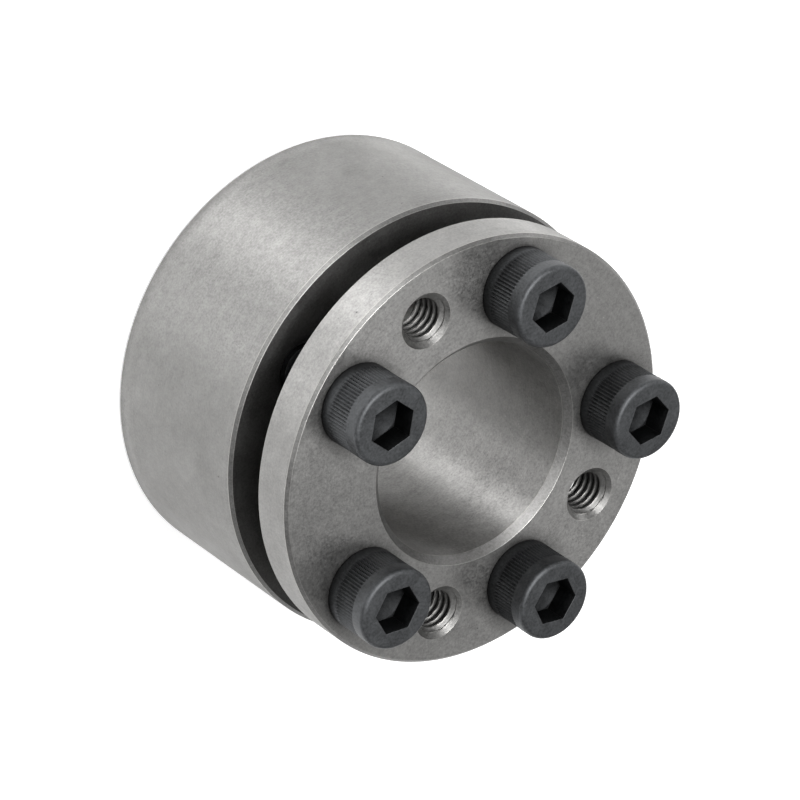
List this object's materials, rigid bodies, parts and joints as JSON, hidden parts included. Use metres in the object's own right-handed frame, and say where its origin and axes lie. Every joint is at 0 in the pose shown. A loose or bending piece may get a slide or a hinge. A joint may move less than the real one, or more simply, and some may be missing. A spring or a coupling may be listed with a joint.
{
  "type": "keyless shaft locking assembly",
  "caption": "Flanged cone sleeve and split taper ring drawn together by socket head cap screws, to lock a hub on a shaft without a key.",
  "frame": {"origin": "centre of the taper ring's rear face, on the shaft axis", "axes": "+Z along the shaft axis, from the rear face towards the screw heads; +Y midway between two screws, beside a jacking hole"},
  "size_m": [0.055, 0.055, 0.0407],
  "materials": {
    "ground_steel": "satin, turned",
    "black_oxide_screw": "black oxide, satin"
  },
  "bodies": {
    "ring": {"taper_ring": "ground_steel"},
    "sleeve": {"flanged_sleeve": "ground_steel"},
    "screw_1": {"cap_screw_1": "black_oxide_screw"},
    "screw_2": {"cap_screw_2": "black_oxide_screw"},
    "screw_3": {"cap_screw_3": "black_oxide_screw"},
    "screw_4": {"cap_screw_4": "black_oxide_screw"},
    "screw_5": {"cap_screw_5": "black_oxide_screw"}
  },
  "joints": [
    {"name": "clamp_slide", "type": "slide", "parent": "ring", "child": "sleeve", "axis": [0, 0, -1], "range_m": [0, 0.0015]},
    {"name": "screw_1_turn", "type": "hinge", "parent": "sleeve", "child": "screw_1", "pos_m": [0.01204, 0.01658, 0.034], "axis": [0, 0, 1], "range_deg": [-540, 0]},
    {"name": "screw_2_turn", "type": "hinge", "parent": "sleeve", "child": "screw_2", "pos_m": [-0.01204, 0.01658, 0.034], "axis": [0, 0, 1], "range_deg": [-540, 0]},
    {"name": "screw_3_turn", "type": "hinge", "parent": "sleeve", "child": "screw_3", "pos_m": [-0.01949, -0.00633, 0.034], "axis": [0, 0, 1], "range_deg": [-540, 0]},
    {"name": "screw_4_turn", "type": "hinge", "parent": "sleeve", "child": "screw_4", "pos_m": [0, -0.02049, 0.034], "axis": [0, 0, 1], "range_deg": [-540, 0]},
    {"name": "screw_5_turn", "type": "hinge", "parent": "sleeve", "child": "screw_5", "pos_m": [0.01949, -0.00633, 0.034], "axis": [0, 0, 1], "range_deg": [-540, 0]}
  ],
  "couplings": [
    {"joint": "screw_1_turn", "follows": "clamp_slide", "rad_per_m": -6283.1},
    {"joint": "screw_2_turn", "follows": "clamp_slide", "rad_per_m": -6283.1},
    {"joint": "screw_3_turn", "follows": "clamp_slide", "rad_per_m": -6283.1},
    {"joint": "screw_4_turn", "follows": "clamp_slide", "rad_per_m": -6283.1},
    {"joint": "screw_5_turn", "follows": "clamp_slide", "rad_per_m": -6283.1}
  ]
}
